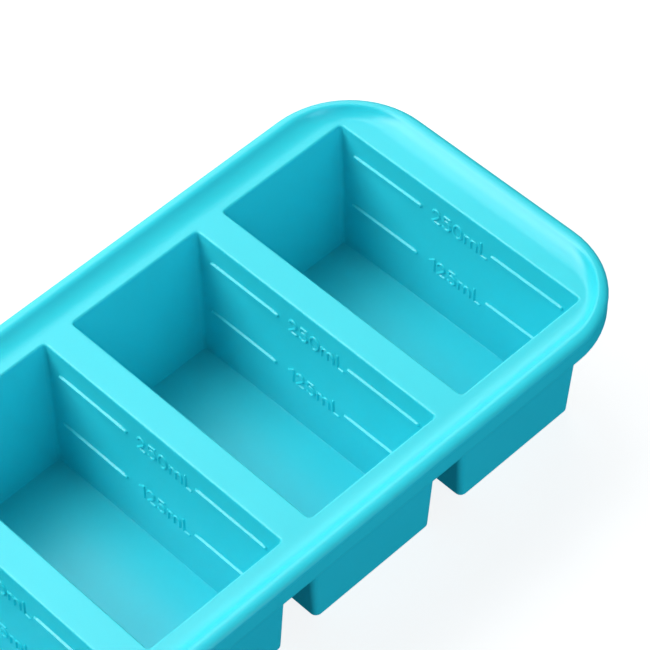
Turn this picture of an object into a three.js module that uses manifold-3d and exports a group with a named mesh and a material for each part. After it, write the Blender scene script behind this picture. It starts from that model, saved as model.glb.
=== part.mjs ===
// Silicone mould: a row of four deep pockets under one stiffened rim.
// Millimetres, +Z up. +X runs along the row of pockets and +Y across it.
// The origin is under the middle of the mould, on the surface it stands on.

import * as THREE from 'three';
import { mergeVertices } from 'three/addons/utils/BufferGeometryUtils.js';
import Module from 'manifold-3d';

const wasm = await Module();
wasm.setup();

// Pockets: open boxes that narrow towards the floor.
const POCKET_COUNT = 4;
const PITCH = 67; // centre to centre along the row
const MOUTH = { x: 55.2, y: 110.6 }; // inside, level with the deck
const FLOOR = { x: 48.8, y: 104.4 }; // inside, on the floor
const DEPTH = 56; // deck to floor
const WALL = 2;
const BASE = 2; // floor thickness
const INNER_CORNER = 1.3; // radius of the upright inner edges
const OUTER_CORNER = 2.6; // and of the outer ones

// Fill lines: raised bars on the +X wall of each pocket, in two lengths with a gap for numerals.
const FILL_LINES = [
  { depth: 10.4, bars: [[15.8, 48.6], [-48.8, -16.2]] },
  { depth: 34.3, bars: [[16.7, 48.4], [-48.4, -15.3]] },
];
const BAR_HEIGHT = 1.2;
const BAR_PROUD = 0.7;

// Rim: a flat deck that rises to a rounded lip, with a solid bead below it.
const LENGTH = 293;
const WIDTH = 140;
const CORNER = 34; // outer radius in plan
const DECK_THICKNESS = 2.2;
const DECK_TOP = BASE + DEPTH;
const LIP_RISE = 3.8;
const SLOPE_FOOT = 11.6; // from the outer edge to the foot of the lip's inner slope
const SLOPE_CORNER = 11; // radius of that foot in plan, which passes round the pockets' corners
const CREST = 3; // from the outer edge to the top of the slope
const CROWN = 2.3; // radius of the lip's outer edge
const BEAD_WIDTH = 7;
const BEAD_DROP = 6.2; // below the deck's top

// Steel wire that stiffens the rim, and the channel that the silicone leaves for it.
const WIRE_RADIUS = 1.5;
const WIRE_INSET = 3.5; // wire centre from the outer edge
const WIRE_DROP = 2.2; // wire centre below the deck's top
const CLEARANCE = 0.3;
const PIN_RADIUS = 1.3; // holes that the locating pins leave under the bead
const PINS_PER_LONG_SIDE = 3;

const CURVE_STEPS = 6;
const TURN_STEPS = 48; // facets in a full turn
const GRID = 1e4; // steps per millimetre that corners are rounded to, so that joints meet exactly

const silicone = new THREE.MeshStandardMaterial({ color: 0x4ad4e8, roughness: 0.55, metalness: 0 });
const steel = new THREE.MeshStandardMaterial({ color: 0xb9bdc2, roughness: 0.35, metalness: 1 });

// Booleans

function toSolid(geometry) {
  const bare = geometry.clone();
  bare.deleteAttribute('normal');
  bare.deleteAttribute('uv');
  const merged = mergeVertices(bare, 1 / GRID);
  const places = merged.attributes.position.array.map((value) => Math.round(value * GRID) / GRID);
  const corners = Array.from(merged.index.array);
  const triangles = [];
  for (let i = 0; i < corners.length; i += 3) {
    const [a, b, c] = corners.slice(i, i + 3);
    if (a !== b && b !== c && c !== a) triangles.push(a, b, c);
  }
  return new wasm.Manifold(new wasm.Mesh({
    numProp: 3,
    vertProperties: new Float32Array(places),
    triVerts: new Uint32Array(triangles),
  }));
}

function union(solids) {
  return solids.reduce((whole, next) => whole.add(next));
}

// Cutting along a shared face can leave a flake of no thickness, which is dropped.
function largestBody(solid) {
  return solid.decompose().reduce((best, next) => (next.volume() > best.volume() ? next : best));
}

function toMesh(name, solid, material) {
  const { vertProperties, triVerts } = solid.getMesh();
  const geometry = new THREE.BufferGeometry();
  geometry.setAttribute('position', new THREE.BufferAttribute(new Float32Array(vertProperties), 3));
  geometry.setIndex(new THREE.BufferAttribute(new Uint32Array(triVerts), 1));
  geometry.computeVertexNormals();
  const mesh = new THREE.Mesh(geometry, material);
  mesh.name = name;
  return mesh;
}

// Shapes

function roundedRectangle(sizeX, sizeY, radius) {
  const x = sizeX / 2 - radius;
  const y = sizeY / 2 - radius;
  const shape = new THREE.Shape();
  shape.absarc(x, y, radius, 0, Math.PI / 2);
  shape.absarc(-x, y, radius, Math.PI / 2, Math.PI);
  shape.absarc(-x, -y, radius, Math.PI, 1.5 * Math.PI);
  shape.absarc(x, -y, radius, 1.5 * Math.PI, 2 * Math.PI);
  return shape;
}

function circle(x, y, radius) {
  return new THREE.Shape().absarc(x, y, radius, 0, 2 * Math.PI);
}

function box(lowX, lowY, lowZ, highX, highY, highZ) {
  return new THREE.BoxGeometry(highX - lowX, highY - lowY, highZ - lowZ)
    .translate((lowX + highX) / 2, (lowY + highY) / 2, (lowZ + highZ) / 2);
}

function uprightCylinder(x, y, radius, lowZ, highZ) {
  return new THREE.CylinderGeometry(radius, radius, highZ - lowZ, 12)
    .rotateX(Math.PI / 2)
    .translate(x, y, (lowZ + highZ) / 2);
}

// Sweeps a section round the mould's outline. The section's x is measured outwards from the
// corner's centre, and its y is the height.
function sweepOutline(section) {
  const points = section.extractPoints(CURVE_STEPS).shape;
  const straight = { x: LENGTH / 2 - CORNER, y: WIDTH / 2 - CORNER };
  const profile = points[0].x > 0 ? [...points, points[0]] : points;
  const turned = new THREE.LatheGeometry(profile, TURN_STEPS).rotateX(Math.PI / 2);
  const quadrant = box(0, 0, -WIDTH, WIDTH, WIDTH, WIDTH);
  const quarter = toSolid(turned).intersect(toSolid(quadrant));
  const parts = [];
  for (let side = 0; side < 4; side += 1) {
    const alongX = side % 2 === 1;
    const reach = alongX ? straight.y : straight.x;
    const run = alongX ? straight.x : straight.y;
    const bar = new THREE.ExtrudeGeometry(new THREE.Shape(points), { depth: 2 * run, bevelEnabled: false })
      .rotateX(Math.PI / 2)
      .translate(reach, run, 0)
      .rotateZ(side * Math.PI / 2);
    const cornerX = side === 0 || side === 3 ? straight.x : -straight.x;
    const cornerY = side < 2 ? straight.y : -straight.y;
    parts.push(toSolid(bar));
    parts.push(quarter.rotate([0, 0, side * 90]).translate([cornerX, cornerY, 0]));
  }
  return union(parts);
}

// A pocket's rounded block between two heights, grown sideways by an offset.
function pocketBlock(offset, corner, lowZ, highZ) {
  const sizeAt = (axis, z) => FLOOR[axis] + (MOUTH[axis] - FLOOR[axis]) * (z - BASE) / DEPTH + 2 * offset;
  const low = { x: sizeAt('x', lowZ), y: sizeAt('y', lowZ) };
  const high = { x: sizeAt('x', highZ), y: sizeAt('y', highZ) };
  const outline = roundedRectangle(low.x, low.y, corner);
  const block = new THREE.ExtrudeGeometry(outline, {
    depth: highZ - lowZ,
    bevelEnabled: false,
    curveSegments: 4,
  });
  const position = block.attributes.position;
  for (let i = 0; i < position.count; i += 1) {
    if (position.getZ(i) > (highZ - lowZ) / 2) {
      position.setX(i, position.getX(i) * high.x / low.x);
      position.setY(i, position.getY(i) * high.y / low.y);
    }
  }
  return toSolid(block.translate(0, 0, lowZ));
}

// Pieces

function pocket() {
  const outside = pocketBlock(WALL, OUTER_CORNER, 0, DECK_TOP);
  const shell = outside.subtract(pocketBlock(0, INNER_CORNER, BASE, DECK_TOP + 1));
  const bars = FILL_LINES.flatMap(({ depth, bars: spans }) => spans.map(([lowY, highY]) => {
    const wallX = (MOUTH.x - (MOUTH.x - FLOOR.x) * depth / DEPTH) / 2;
    const middleZ = DECK_TOP - depth;
    return toSolid(box(
      wallX - BAR_PROUD, lowY, middleZ - BAR_HEIGHT / 2,
      wallX + WALL / 2, highY, middleZ + BAR_HEIGHT / 2,
    ));
  }));
  return union([shell, ...bars]);
}

function rimSection() {
  const beadFoot = DECK_TOP - BEAD_DROP;
  const lipTop = DECK_TOP + LIP_RISE;
  const section = new THREE.Shape();
  section.moveTo(0, DECK_TOP - DECK_THICKNESS);
  section.lineTo(CORNER - BEAD_WIDTH, DECK_TOP - DECK_THICKNESS);
  section.lineTo(CORNER - BEAD_WIDTH, beadFoot);
  section.lineTo(CORNER, beadFoot);
  section.lineTo(CORNER, lipTop - CROWN);
  section.absarc(CORNER - CROWN, lipTop - CROWN, CROWN, 0, Math.PI / 2);
  section.lineTo(0, lipTop);
  return section;
}

// The space above the deck: its floor is flat, and its side is the lip's S-shaped inner slope.
function dish() {
  const lipTop = DECK_TOP + LIP_RISE;
  const slope = new THREE.CubicBezierCurve(
    new THREE.Vector2(SLOPE_FOOT, DECK_TOP),
    new THREE.Vector2(SLOPE_FOOT * 0.44, DECK_TOP),
    new THREE.Vector2(SLOPE_FOOT * 0.53, lipTop),
    new THREE.Vector2(CREST, lipTop),
  ).getPoints(CURVE_STEPS + 2);
  const rings = [...slope, { x: CREST, y: lipTop + 1 }].map(({ x: inset, y: z }) => {
    const share = (inset - CREST) / (SLOPE_FOOT - CREST);
    const radius = THREE.MathUtils.lerp(CORNER - CREST, SLOPE_CORNER, share);
    const outline = roundedRectangle(LENGTH - 2 * inset, WIDTH - 2 * inset, radius);
    return outline.getPoints(CURVE_STEPS).map((point) => [point.x, point.y, z]);
  });
  return union(rings.slice(1).map((ring, i) => wasm.Manifold.hull([...rings[i], ...ring])));
}

function wireSection(radius) {
  return circle(CORNER - WIRE_INSET, DECK_TOP - WIRE_DROP, radius);
}

function pinHoles() {
  const lowZ = DECK_TOP - BEAD_DROP - 1;
  const highZ = DECK_TOP - WIRE_DROP;
  const pathX = LENGTH / 2 - WIRE_INSET;
  const pathY = WIDTH / 2 - WIRE_INSET;
  const holes = [[pathX, 0], [-pathX, 0]];
  for (let i = 0; i < PINS_PER_LONG_SIDE; i += 1) {
    const x = (i - (PINS_PER_LONG_SIDE - 1) / 2) * PITCH;
    holes.push([x, pathY], [x, -pathY]);
  }
  return union(holes.map(([x, y]) => toSolid(uprightCylinder(x, y, PIN_RADIUS, lowZ, highZ))));
}

function rimFlange() {
  const middleX = LENGTH / 2 - CORNER;
  const middleY = WIDTH / 2 - CORNER;
  const middle = box(
    -middleX, -middleY, DECK_TOP - DECK_THICKNESS,
    middleX, middleY, DECK_TOP + LIP_RISE,
  );
  let flange = toSolid(middle).add(sweepOutline(rimSection())).subtract(dish());
  const window = pocketBlock(
    WALL + CLEARANCE, OUTER_CORNER + CLEARANCE, DECK_TOP - BEAD_DROP, DECK_TOP + 1,
  );
  for (const x of pocketCentres()) flange = flange.subtract(window.translate([x, 0, 0]));
  const channel = sweepOutline(wireSection(WIRE_RADIUS + CLEARANCE));
  return largestBody(flange.subtract(channel).subtract(pinHoles()));
}

function pocketCentres() {
  return Array.from({ length: POCKET_COUNT }, (_, i) => (i - (POCKET_COUNT - 1) / 2) * PITCH);
}

const group = new THREE.Group();
group.name = 'silicone_mould';
group.add(toMesh('rim_flange', rimFlange(), silicone));
group.add(toMesh('rim_steel_frame', sweepOutline(wireSection(WIRE_RADIUS)), steel));
pocketCentres().forEach((x, i) => {
  const mesh = toMesh(`pocket_${i + 1}`, pocket(), silicone);
  mesh.position.x = x;
  group.add(mesh);
});

export default group;
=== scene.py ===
"""The looks of a silicone mould with a row of fill-marked pockets. Everything is in metres."""

import math

import bmesh
import bpy
import numpy as np
from mathutils import Matrix, Vector
from mathutils.geometry import delaunay_2d_cdt


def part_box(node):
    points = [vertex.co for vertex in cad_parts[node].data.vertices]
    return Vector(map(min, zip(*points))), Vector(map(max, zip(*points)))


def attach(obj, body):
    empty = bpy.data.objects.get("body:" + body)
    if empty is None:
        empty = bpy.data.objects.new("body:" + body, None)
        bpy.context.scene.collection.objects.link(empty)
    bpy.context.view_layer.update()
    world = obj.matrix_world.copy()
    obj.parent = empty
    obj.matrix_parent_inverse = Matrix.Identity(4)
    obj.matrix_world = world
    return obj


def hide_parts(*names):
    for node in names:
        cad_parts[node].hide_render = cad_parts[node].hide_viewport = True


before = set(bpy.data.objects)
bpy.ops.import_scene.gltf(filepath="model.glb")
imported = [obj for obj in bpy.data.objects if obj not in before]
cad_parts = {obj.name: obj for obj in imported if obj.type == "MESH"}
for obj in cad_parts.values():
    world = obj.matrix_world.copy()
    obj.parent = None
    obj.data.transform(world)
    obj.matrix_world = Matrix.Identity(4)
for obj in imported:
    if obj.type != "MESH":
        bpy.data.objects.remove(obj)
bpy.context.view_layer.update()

MM = 0.001
POCKETS = sorted(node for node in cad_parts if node.startswith("pocket_"))
RIM_LOW, RIM_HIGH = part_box("rim_flange")

# Sizes that the frame gives.
HALF_LENGTH = (RIM_HIGH.x - RIM_LOW.x) / 2
HALF_WIDTH = (RIM_HIGH.y - RIM_LOW.y) / 2
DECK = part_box(POCKETS[0])[1].z
LIP_TOP = RIM_HIGH.z
BEAD_FOOT = RIM_LOW.z

# Sizes that the solids' boxes don't give.
WALL = 2 * MM
BASE = 2 * MM
DRAFT = Vector((3.2, 3.1)) / 56  # how far a pocket wall leans in, per unit of depth
INNER_CORNER = 1.3 * MM
OUTER_CORNER = 2.4 * MM
MOUTH_FILLET = 0.7 * MM
UNDER_FILLET = 0.45 * MM  # where a pocket's outer wall meets the deck's underside
FLOOR_FILLET = 0.25 * MM
FOOT_FILLET = 0.6 * MM
FLAT_MARGIN = 0.6 * MM  # flat strip round a pocket, which keeps its fillet's shading off the deck
DECK_THICKNESS = 2.2 * MM
RIM_CORNER = 34 * MM
BEAD_WIDTH = 7 * MM
BEAD_INNER_CORNER = 21.7 * MM  # tighter than the rim's own, to pass round the pockets

# The lip's section: insets from the outer edge.
SLOPE_FOOT = 12.0 * MM
SLOPE_CORNER = 11.5 * MM  # corner radius of the slope's foot in plan
SLOPE_TURN = 5.1 * MM  # where the hollow slope turns into the rounded crest
CREST = 3.1 * MM
PARTING_DROP = 2.3 * MM  # parting line below the lip's top
PARTING_ROUND = 0.7 * MM  # how far the lip curls under at the parting line
PARTING_WIDTH = 0.85 * MM
SKIRT_INSET = 0.15 * MM
SKIRT_FILLET = 1.4 * MM

# Marks: two bars level with the fill, and its numerals in the gap between them. A bar's ends are
# given as y in millimetres.
BAR_WIDTH = 1.6 * MM
BAR_PROUD = 0.8 * MM
STROKE_WIDTH = 0.85 * MM
STROKE_PROUD = 0.55 * MM
SHOULDER = 0.4 * MM  # rounding along a stroke's edges
NUMERAL_HEIGHT = 5.6 * MM
LETTER_GAP = 0.27  # of the numerals' height
FINE_ACROSS = 0.17 * MM  # mesh spacing at the marks
FINE_DOWN = 0.18 * MM
MARKS = [
    {"depth": 10.4 * MM, "bars": ((48.6, 15.8), (-16.2, -48.8)), "text": "250mL", "start": 10.8 * MM},
    {"depth": 34.3 * MM, "bars": ((48.4, 16.7), (-15.3, -48.4)), "text": "125mL", "start": 10.9 * MM},
]

PIN_RADIUS = 1.3 * MM
PIN_INSET = 3.5 * MM
PIN_HEIGHT = 4 * MM


# Camera, lights and floor

AIM = Vector((62.65 * MM, -4.0 * MM, DECK))
CAMERA_DISTANCE = 0.9798
AZIMUTH, ELEVATION, ROLL = (math.radians(angle) for angle in (-42.32, 50.75, -2.63))
LENS = 168.2

WHITE = (1, 1, 1)
COOL = (0.5, 0.83, 1)
# Soft round lights that face the aim: name, azimuth from +X and elevation in degrees, width in
# metres, watts, colour.
LIGHTS = [
    ("key", 141, 41, 1.0, 17.0, WHITE),
    ("top", 95, 63, 1.2, 11.5, WHITE),
    ("sheen", 54, 33, 1.3, 6.0, WHITE),
    ("sheen_low", 70, 3, 1.8, 5.5, WHITE),
    ("fill_low", 270, 13, 0.9, 10.8, COOL),
    ("fill_high", 270, 60, 0.9, 1.0, WHITE),
]
LIGHT_DISTANCE = 1.6
WORLD_BELOW = (0.01, 0.13, 0.17, 1)  # stands for light that the floor and the mould send up
WORLD_ABOVE = (0.09, 0.09, 0.09, 1)
HORIZON_BLEND = 0.05  # of the way from the horizon to straight up
FLOOR_HALF = 4  # metres, so that no view reaches its edge


def add_camera():
    back = Vector((
        math.sin(AZIMUTH) * math.cos(ELEVATION),
        -math.cos(AZIMUTH) * math.cos(ELEVATION),
        math.sin(ELEVATION),
    ))
    right = Vector((0, 0, 1)).cross(back).normalized()
    up = back.cross(right)
    turned_right = right * math.cos(ROLL) + up * math.sin(ROLL)
    turned_up = up * math.cos(ROLL) - right * math.sin(ROLL)
    data = bpy.data.cameras.new("camera")
    data.lens = LENS
    camera = bpy.data.objects.new("camera", data)
    turn = Matrix((turned_right, turned_up, back)).transposed()
    camera.matrix_world = Matrix.Translation(AIM + back * CAMERA_DISTANCE) @ turn.to_4x4()
    bpy.context.collection.objects.link(camera)
    bpy.context.scene.camera = camera


def add_light(name, azimuth, elevation, width, power, color):
    data = bpy.data.lights.new(name, "AREA")
    data.shape = "DISK"
    data.size = width
    data.energy = power
    data.color = color
    azimuth, elevation = math.radians(azimuth), math.radians(elevation)
    away = Vector((
        math.cos(azimuth) * math.cos(elevation),
        math.sin(azimuth) * math.cos(elevation),
        math.sin(elevation),
    ))
    light = bpy.data.objects.new(name, data)
    light.location = AIM + away * LIGHT_DISTANCE
    light.rotation_euler = away.to_track_quat("Z", "Y").to_euler()
    light.visible_camera = False
    bpy.context.collection.objects.link(light)


def add_studio():
    scene = bpy.context.scene
    scene.view_settings.view_transform = "Standard"
    world = bpy.data.worlds.new("studio")
    world.use_nodes = True
    nodes, links = world.node_tree.nodes, world.node_tree.links
    place = nodes.new("ShaderNodeTexCoord")
    split = nodes.new("ShaderNodeSeparateXYZ")
    links.new(place.outputs["Generated"], split.inputs["Vector"])
    sky = ramp(nodes, links, split.outputs["Z"], WORLD_BELOW, WORLD_ABOVE, 0, HORIZON_BLEND)
    links.new(sky.outputs["Color"], nodes["Background"].inputs["Color"])
    nodes["Background"].inputs["Strength"].default_value = 1
    scene.world = world
    for light in LIGHTS:
        add_light(*light)


def add_floor(material):
    """A pale floor that the camera sees. The world below and the fills stand for its light."""
    mesh = bpy.data.meshes.new("floor")
    signs = ((-1, -1), (1, -1), (1, 1), (-1, 1))
    mesh.from_pydata([(x * FLOOR_HALF, y * FLOOR_HALF, 0) for x, y in signs], [], [(0, 1, 2, 3)])
    mesh.materials.append(material)
    floor = bpy.data.objects.new("floor", mesh)
    bpy.context.collection.objects.link(floor)
    floor.visible_diffuse = False
    floor.visible_glossy = False
    floor.visible_shadow = False


# Materials

def new_material(name):
    material = bpy.data.materials.new(name)
    material.use_nodes = True
    nodes = material.node_tree.nodes
    return material, nodes, material.node_tree.links, nodes["Principled BSDF"]


def object_noise(nodes, links, scale, detail):
    place = nodes.new("ShaderNodeTexCoord")
    noise = nodes.new("ShaderNodeTexNoise")
    noise.inputs["Scale"].default_value = scale
    noise.inputs["Detail"].default_value = detail
    links.new(place.outputs["Object"], noise.inputs["Vector"])
    return noise


def ramp(nodes, links, source, low, high, start=0.3, end=0.7):
    node = nodes.new("ShaderNodeValToRGB")
    node.color_ramp.elements[0].position = start
    node.color_ramp.elements[1].position = end
    node.color_ramp.elements[0].color = low
    node.color_ramp.elements[1].color = high
    links.new(source, node.inputs["Fac"])
    return node


def link_tint(nodes, links, noise, shader, low, high):
    tint = ramp(nodes, links, noise.outputs["Fac"], (*low, 1), (*high, 1))
    links.new(tint.outputs["Color"], shader.inputs["Base Color"])


def link_roughness(nodes, links, noise, shader, low, high):
    gloss = nodes.new("ShaderNodeMapRange")
    gloss.inputs["To Min"].default_value = low
    gloss.inputs["To Max"].default_value = high
    links.new(noise.outputs["Fac"], gloss.inputs["Value"])
    links.new(gloss.outputs["Result"], shader.inputs["Roughness"])


def silicone_material():
    """Satin turquoise, a little cloudy, with a fine grain and some light below the surface."""
    material, nodes, links, shader = new_material("turquoise_silicone")
    cloud = object_noise(nodes, links, 18, 3)
    link_tint(nodes, links, cloud, shader, (0.034, 0.71, 0.81), (0.04, 0.74, 0.84))
    grain = object_noise(nodes, links, 900, 2)
    link_roughness(nodes, links, grain, shader, 0.3, 0.38)
    bump = nodes.new("ShaderNodeBump")
    bump.inputs["Strength"].default_value = 0.12
    bump.inputs["Distance"].default_value = 0.1 * MM
    links.new(grain.outputs["Fac"], bump.inputs["Height"])
    links.new(bump.outputs["Normal"], shader.inputs["Normal"])
    shader.inputs["IOR"].default_value = 1.5
    shader.inputs["Subsurface Weight"].default_value = 0.25
    shader.inputs["Subsurface Radius"].default_value = (0.2, 1.0, 1.0)
    shader.inputs["Subsurface Scale"].default_value = 1.5 * MM
    return material


def steel_material():
    material, nodes, links, shader = new_material("drawn_steel")
    shader.inputs["Metallic"].default_value = 1
    noise = object_noise(nodes, links, 300, 4)
    link_tint(nodes, links, noise, shader, (0.52, 0.53, 0.55), (0.72, 0.73, 0.75))
    link_roughness(nodes, links, noise, shader, 0.25, 0.42)
    return material


def floor_material():
    """White paper, lit from within so that it stays near white outside the lights' reach."""
    material, nodes, links, shader = new_material("studio_floor")
    paper = object_noise(nodes, links, 40, 3)
    link_tint(nodes, links, paper, shader, (0.28, 0.28, 0.28), (0.3, 0.3, 0.3))
    shader.inputs["Roughness"].default_value = 0.9
    shader.inputs["Specular IOR Level"].default_value = 0.2
    shader.inputs["Emission Color"].default_value = (1, 1, 1, 1)
    shader.inputs["Emission Strength"].default_value = 0.85
    return material


# Marks on the pocket's +X wall, as strokes in the wall's own plane: u across, in reading
# direction, and v up, both in units of the numerals' height.

def arc(u, v, radius_u, radius_v, start, end, steps=14):
    turns = (math.radians(start + (end - start) * i / steps) for i in range(steps + 1))
    return [(u + radius_u * math.cos(turn), v + radius_v * math.sin(turn)) for turn in turns]


# Each glyph's width, and its strokes.
GLYPHS = {
    "0": (0.66, [arc(0.33, 0.5, 0.33, 0.5, 0, 360, 28)]),
    "1": (0.4, [[(0.0, 0.74), (0.38, 1.0), (0.38, 0.0)]]),
    "2": (0.6, [arc(0.29, 0.7, 0.28, 0.3, 165, -38) + [(0.0, 0.0), (0.6, 0.0)]]),
    "5": (0.62, [[(0.57, 1.0), (0.12, 1.0), (0.07, 0.58)] + arc(0.29, 0.33, 0.32, 0.33, 125, -140)]),
    "m": (0.96, [
        [(0.0, 0.0), (0.0, 0.7)],
        arc(0.24, 0.46, 0.24, 0.24, 180, 0) + [(0.48, 0.0)],
        arc(0.72, 0.46, 0.24, 0.24, 180, 0) + [(0.96, 0.0)],
    ]),
    "L": (0.56, [[(0.08, 1.0), (0.08, 0.0), (0.56, 0.0)]]),
}


def text_segments(mark):
    """The numerals' strokes as segments of (y, depth) points, in metres."""
    segments = []
    across = 0
    for letter in mark["text"]:
        width, strokes = GLYPHS[letter]
        for stroke in strokes:
            path = [(
                mark["start"] - (across + u) * NUMERAL_HEIGHT,
                mark["depth"] + (0.5 - v) * NUMERAL_HEIGHT,
            ) for u, v in stroke]
            segments += zip(path[:-1], path[1:])
        across += width + LETTER_GAP
    return segments


def bar_segments(mark):
    inset = BAR_WIDTH / 2
    return [
        ((high * MM - inset, mark["depth"]), (low * MM + inset, mark["depth"]))
        for high, low in mark["bars"]
    ]


def distance_to(segments, points):
    """Each point's distance to the nearest segment."""
    nearest = np.full(len(points), np.inf)
    for start, end in segments:
        start, along = np.array(start), np.subtract(end, start)
        share = np.clip((points - start) @ along / (along @ along), 0, 1)
        nearest = np.minimum(nearest, np.linalg.norm(points - start - share[:, None] * along, axis=1))
    return nearest


def raised(distance, width, proud):
    """The height of a moulded stroke: a flat top between rounded shoulders."""
    edge = np.clip((width / 2 - distance) / SHOULDER, 0, 1)
    return proud * np.sqrt(1 - (1 - edge) ** 2)


def mark_heights(points):
    """How far the wall stands proud at (y, depth) points."""
    heights = np.zeros(len(points))
    for mark in MARKS:
        bars = raised(distance_to(bar_segments(mark), points), BAR_WIDTH, BAR_PROUD)
        text = raised(distance_to(text_segments(mark), points), STROKE_WIDTH, STROKE_PROUD)
        heights = np.maximum(heights, np.maximum(bars, text))
    return heights


def spread(low, high, step):
    count = max(1, math.ceil((high - low) / step))
    return [low + (high - low) * i / count for i in range(count + 1)]


def mark_columns():
    """The y of each mesh line on the marked wall, close together where marks need them."""
    columns = set()
    for mark in MARKS:
        (left_start, left_end), (right_start, right_end) = mark["bars"]
        for high, low in ((left_end, right_start), (left_start, left_start), (right_end, right_end)):
            columns.update(spread(low * MM - BAR_WIDTH, high * MM + BAR_WIDTH, FINE_ACROSS))
    kept = []
    for y in sorted(columns):
        if not kept or y - kept[-1] > FINE_ACROSS * 0.6:
            kept.append(y)
    return kept


def wall_depths():
    """The depth of each mesh line on the pocket walls, from below the mouth to above the floor."""
    reach = NUMERAL_HEIGHT / 2 + STROKE_WIDTH
    depths = [MOUTH_FILLET]
    for mark in MARKS:
        depths += spread(mark["depth"] - reach, mark["depth"] + reach, FINE_DOWN)
    depths.append(DECK - BASE - FLOOR_FILLET)
    return depths


# The moulding: one closed skin, built from rings that share their count of points.

def ring_points(centre_x, half_x, half_y, radius, z, columns=(), corner_steps=6):
    """A rounded rectangle, counter-clockwise from the start of its +X side."""
    points = [(centre_x + half_x, y) for y in columns]
    for quarter, (sign_x, sign_y) in enumerate(((1, 1), (-1, 1), (-1, -1), (1, -1))):
        for i in range(corner_steps + 1):
            turn = math.pi / 2 * (quarter + i / corner_steps)
            points.append((
                centre_x + sign_x * (half_x - radius) + radius * math.cos(turn),
                sign_y * (half_y - radius) + radius * math.sin(turn),
            ))
    return [(x, y, z) for x, y in points]


def circle_points(x, y, radius, z, steps=16):
    turns = (2 * math.pi * i / steps for i in range(steps))
    return [(x + radius * math.cos(turn), y + radius * math.sin(turn), z) for turn in turns]


def quarter_turn(steps):
    return [math.pi / 2 * i / steps for i in range(steps + 1)]


class Skin:
    def __init__(self):
        self.bm = bmesh.new()

    def ring(self, points):
        return [self.bm.verts.new(point) for point in points]

    def bridge(self, first, second):
        for i in range(len(first)):
            j = (i + 1) % len(first)
            self.bm.faces.new((first[i], first[j], second[j], second[i]))

    def stack(self, rings):
        """Joins rings in order, and returns the first and the last."""
        made = [self.ring(points) for points in rings]
        for first, second in zip(made[:-1], made[1:]):
            self.bridge(first, second)
        return made[0], made[-1]

    def cap(self, ring):
        self.bm.faces.new(ring)

    def fill(self, rings):
        """Fills the flat space inside the first ring and outside the others, which are convex."""
        verts = [vert for ring in rings for vert in ring]
        owners = [number for number, ring in enumerate(rings) for _ in ring]
        edges = []
        for ring in rings:
            first = len(edges)
            edges += [(first + i, first + (i + 1) % len(ring)) for i in range(len(ring))]
        _, _, triangles, sources, _, _ = delaunay_2d_cdt([vert.co.xy for vert in verts], edges, [], 1, 1e-8)
        for triangle in triangles:
            corners = [sources[corner][0] for corner in triangle]
            touched = {owners[corner] for corner in corners}
            if len(touched) > 1 or touched == {0}:
                self.bm.faces.new([verts[corner] for corner in corners])

    def finish(self, name):
        bmesh.ops.recalc_face_normals(self.bm, faces=self.bm.faces)
        mesh = bpy.data.meshes.new(name)
        self.bm.to_mesh(mesh)
        self.bm.free()
        mesh.shade_smooth()
        piece = bpy.data.objects.new(name, mesh)
        bpy.context.collection.objects.link(piece)
        return piece


def pocket_inside(skin, node, columns, heights, depths):
    """The pocket from the deck round its mouth, down its walls and across its floor."""
    low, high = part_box(node)
    centre_x = (low.x + high.x) / 2
    mouth_x, mouth_y = (high.x - low.x) / 2 - WALL, (high.y - low.y) / 2 - WALL

    def ring(grow, depth, lean_depth):
        return ring_points(
            centre_x,
            mouth_x - DRAFT.x * lean_depth + grow,
            mouth_y - DRAFT.y * lean_depth + grow,
            INNER_CORNER + grow,
            DECK - depth,
            columns,
        )

    rings = [ring(MOUTH_FILLET + FLAT_MARGIN, 0, 0)]
    for turn in quarter_turn(5):
        grow = MOUTH_FILLET * (1 - math.sin(turn))
        depth = MOUTH_FILLET * (1 - math.cos(turn))
        rings.append(ring(grow, depth, depth))
    lean = math.atan(DRAFT.x)  # marks stand square to the leaning wall
    for depth, row in zip(depths[1:], heights[1:]):
        wall = ring(0, depth, depth)
        for i, height in enumerate(row):
            x, y, z = wall[i]
            wall[i] = (x - height * math.cos(lean), y, z + height * math.sin(lean))
        rings.append(wall)
    floor = DECK - BASE
    for turn in quarter_turn(5)[1:]:
        shrink = FLOOR_FILLET * (1 - math.cos(turn))
        depth = floor - FLOOR_FILLET * (1 - math.sin(turn))
        rings.append(ring(-shrink, depth, depths[-1]))
    mouth, bottom = skin.stack(rings)
    skin.cap(bottom)
    return mouth


def pocket_outside(skin, node):
    """The pocket's outer wall from under the deck to its foot."""
    low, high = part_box(node)
    centre_x = (low.x + high.x) / 2
    top_x, top_y = (high.x - low.x) / 2, (high.y - low.y) / 2
    under = DECK - DECK_THICKNESS

    def ring(grow, z, lean_z):
        depth = DECK - lean_z
        return ring_points(
            centre_x,
            top_x - DRAFT.x * depth + grow,
            top_y - DRAFT.y * depth + grow,
            OUTER_CORNER + grow,
            z,
        )

    rings = [ring(UNDER_FILLET + FLAT_MARGIN, under, under)]
    for turn in quarter_turn(4):
        grow = UNDER_FILLET * (1 - math.sin(turn))
        z = under - UNDER_FILLET * (1 - math.cos(turn))
        rings.append(ring(grow, z, z))
    for turn in quarter_turn(4):
        shrink = FOOT_FILLET * (1 - math.cos(turn))
        z = FOOT_FILLET * (1 - math.sin(turn))
        rings.append(ring(-shrink, z, FOOT_FILLET))
    top, foot = skin.stack(rings)
    skin.cap(foot)
    return top


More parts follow.
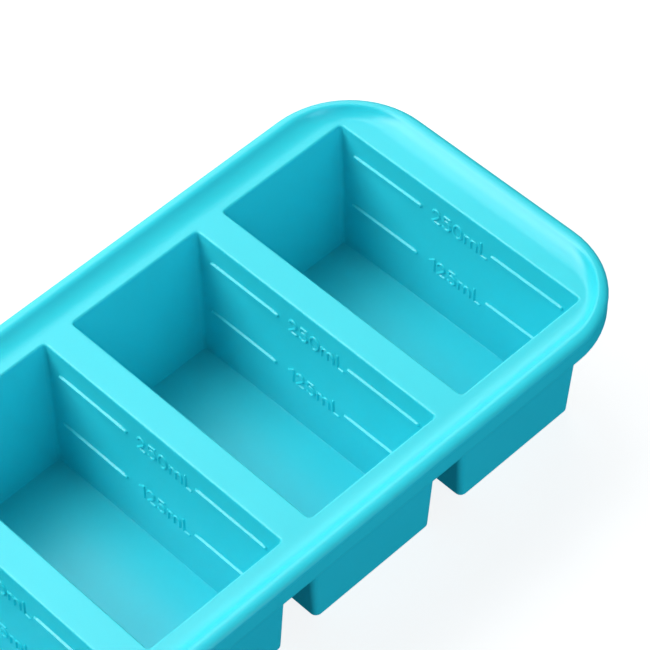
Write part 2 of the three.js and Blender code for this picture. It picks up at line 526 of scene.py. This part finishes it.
def lip_profile():
    """(inset, z) from the slope's foot over the crest to the parting line and down the skirt.

    The slope is a hollow arc and a round arc that meet, without a kink, where it is steepest.
    """
    steepest = 2 * math.atan((LIP_TOP - DECK) / (SLOPE_FOOT - CREST))
    hollow = (SLOPE_FOOT - SLOPE_TURN) / math.sin(steepest)
    crest = (SLOPE_TURN - CREST) / math.sin(steepest)
    steps = 8
    profile = []
    for i in range(steps + 1):
        turn = steepest * i / steps
        profile.append((SLOPE_FOOT - hollow * math.sin(turn), DECK + hollow * (1 - math.cos(turn))))
    for i in range(1, steps + 1):
        turn = steepest * (1 - i / steps)
        profile.append((CREST + crest * math.sin(turn), LIP_TOP - crest * (1 - math.cos(turn))))
    parting = LIP_TOP - PARTING_DROP
    for turn in quarter_turn(7)[1:]:
        profile.append((CREST * (1 - math.sin(turn)), parting + PARTING_DROP * math.cos(turn)))
    for turn in quarter_turn(3)[1:]:
        profile.append((PARTING_ROUND * (1 - math.cos(turn)), parting - PARTING_ROUND * math.sin(turn)))
    profile.append((SKIRT_INSET, parting - PARTING_WIDTH))
    for turn in quarter_turn(4):
        profile.append((
            SKIRT_INSET + SKIRT_FILLET * (1 - math.cos(turn)),
            BEAD_FOOT + SKIRT_FILLET * (1 - math.sin(turn)),
        ))
    return profile


def rim_ring(inset, z, radius):
    return ring_points(0, HALF_LENGTH - inset, HALF_WIDTH - inset, radius, z, corner_steps=16)


def lip_ring(inset, z):
    """A ring of the lip. On the inner slope the corners tighten, to pass round the pockets' mouths."""
    share = max(0, (inset - CREST) / (SLOPE_FOOT - CREST))
    radius = RIM_CORNER - min(inset, CREST)
    return rim_ring(inset, z, radius + (SLOPE_CORNER - radius) * share)


def bead_inner_profile():
    """(inset, z) from the bead's foot up its inner side to the deck's underside."""
    fillet = SKIRT_FILLET
    under = DECK - DECK_THICKNESS
    foot = [
        (BEAD_WIDTH - fillet * (1 - math.sin(turn)), BEAD_FOOT + fillet * (1 - math.cos(turn)))
        for turn in quarter_turn(4)
    ]
    top = [
        (BEAD_WIDTH + fillet * (1 - math.cos(turn)), under - fillet * (1 - math.sin(turn)))
        for turn in quarter_turn(4)
    ]
    return foot + top


def pin_places():
    """Where the locating pins held the wire: under the bead, between the pockets and at both ends."""
    path_x, path_y = HALF_LENGTH - PIN_INSET, HALF_WIDTH - PIN_INSET
    centres = sorted((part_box(node)[0].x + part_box(node)[1].x) / 2 for node in POCKETS)
    between = [(a + b) / 2 for a, b in zip(centres[:-1], centres[1:])]
    return [(path_x, 0), (-path_x, 0)] + [(x, side * path_y) for x in between for side in (1, -1)]


def silicone_tray(material):
    """The whole moulding, in place of the solids it was split into."""
    columns = mark_columns()
    depths = wall_depths()
    grid = np.array([(y, depth) for depth in depths for y in columns])
    heights = mark_heights(grid).reshape(len(depths), len(columns))
    skin = Skin()
    mouths = [pocket_inside(skin, node, columns, heights, depths) for node in POCKETS]
    slope_foot, skirt_foot = skin.stack([lip_ring(inset, z) for inset, z in lip_profile()])
    skin.fill([slope_foot, *mouths])
    bead_inside, under_deck = skin.stack([
        rim_ring(inset, z, BEAD_INNER_CORNER + BEAD_WIDTH - inset) for inset, z in bead_inner_profile()
    ])
    holes = []
    for x, y in pin_places():
        mouth, end = skin.stack([circle_points(x, y, PIN_RADIUS, BEAD_FOOT + z) for z in (0, PIN_HEIGHT)])
        skin.cap(end)
        holes.append(mouth)
    skin.fill([skirt_foot, bead_inside, *holes])
    skin.fill([under_deck, *(pocket_outside(skin, node) for node in POCKETS)])
    tray = skin.finish("silicone_tray")
    tray.data.materials.append(material)
    weighted = tray.modifiers.new("flat_faces_stay_flat", "WEIGHTED_NORMAL")
    weighted.mode = "FACE_AREA"
    weighted.weight = 100
    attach(tray, "root")
    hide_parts("rim_flange", *POCKETS)


def finish_wire(material):
    """The wire keeps its solid, and gets steel."""
    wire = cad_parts["rim_steel_frame"]
    wire.data.materials.clear()
    wire.data.materials.append(material)


add_camera()
add_studio()
add_floor(floor_material())
silicone_tray(silicone_material())
finish_wire(steel_material())
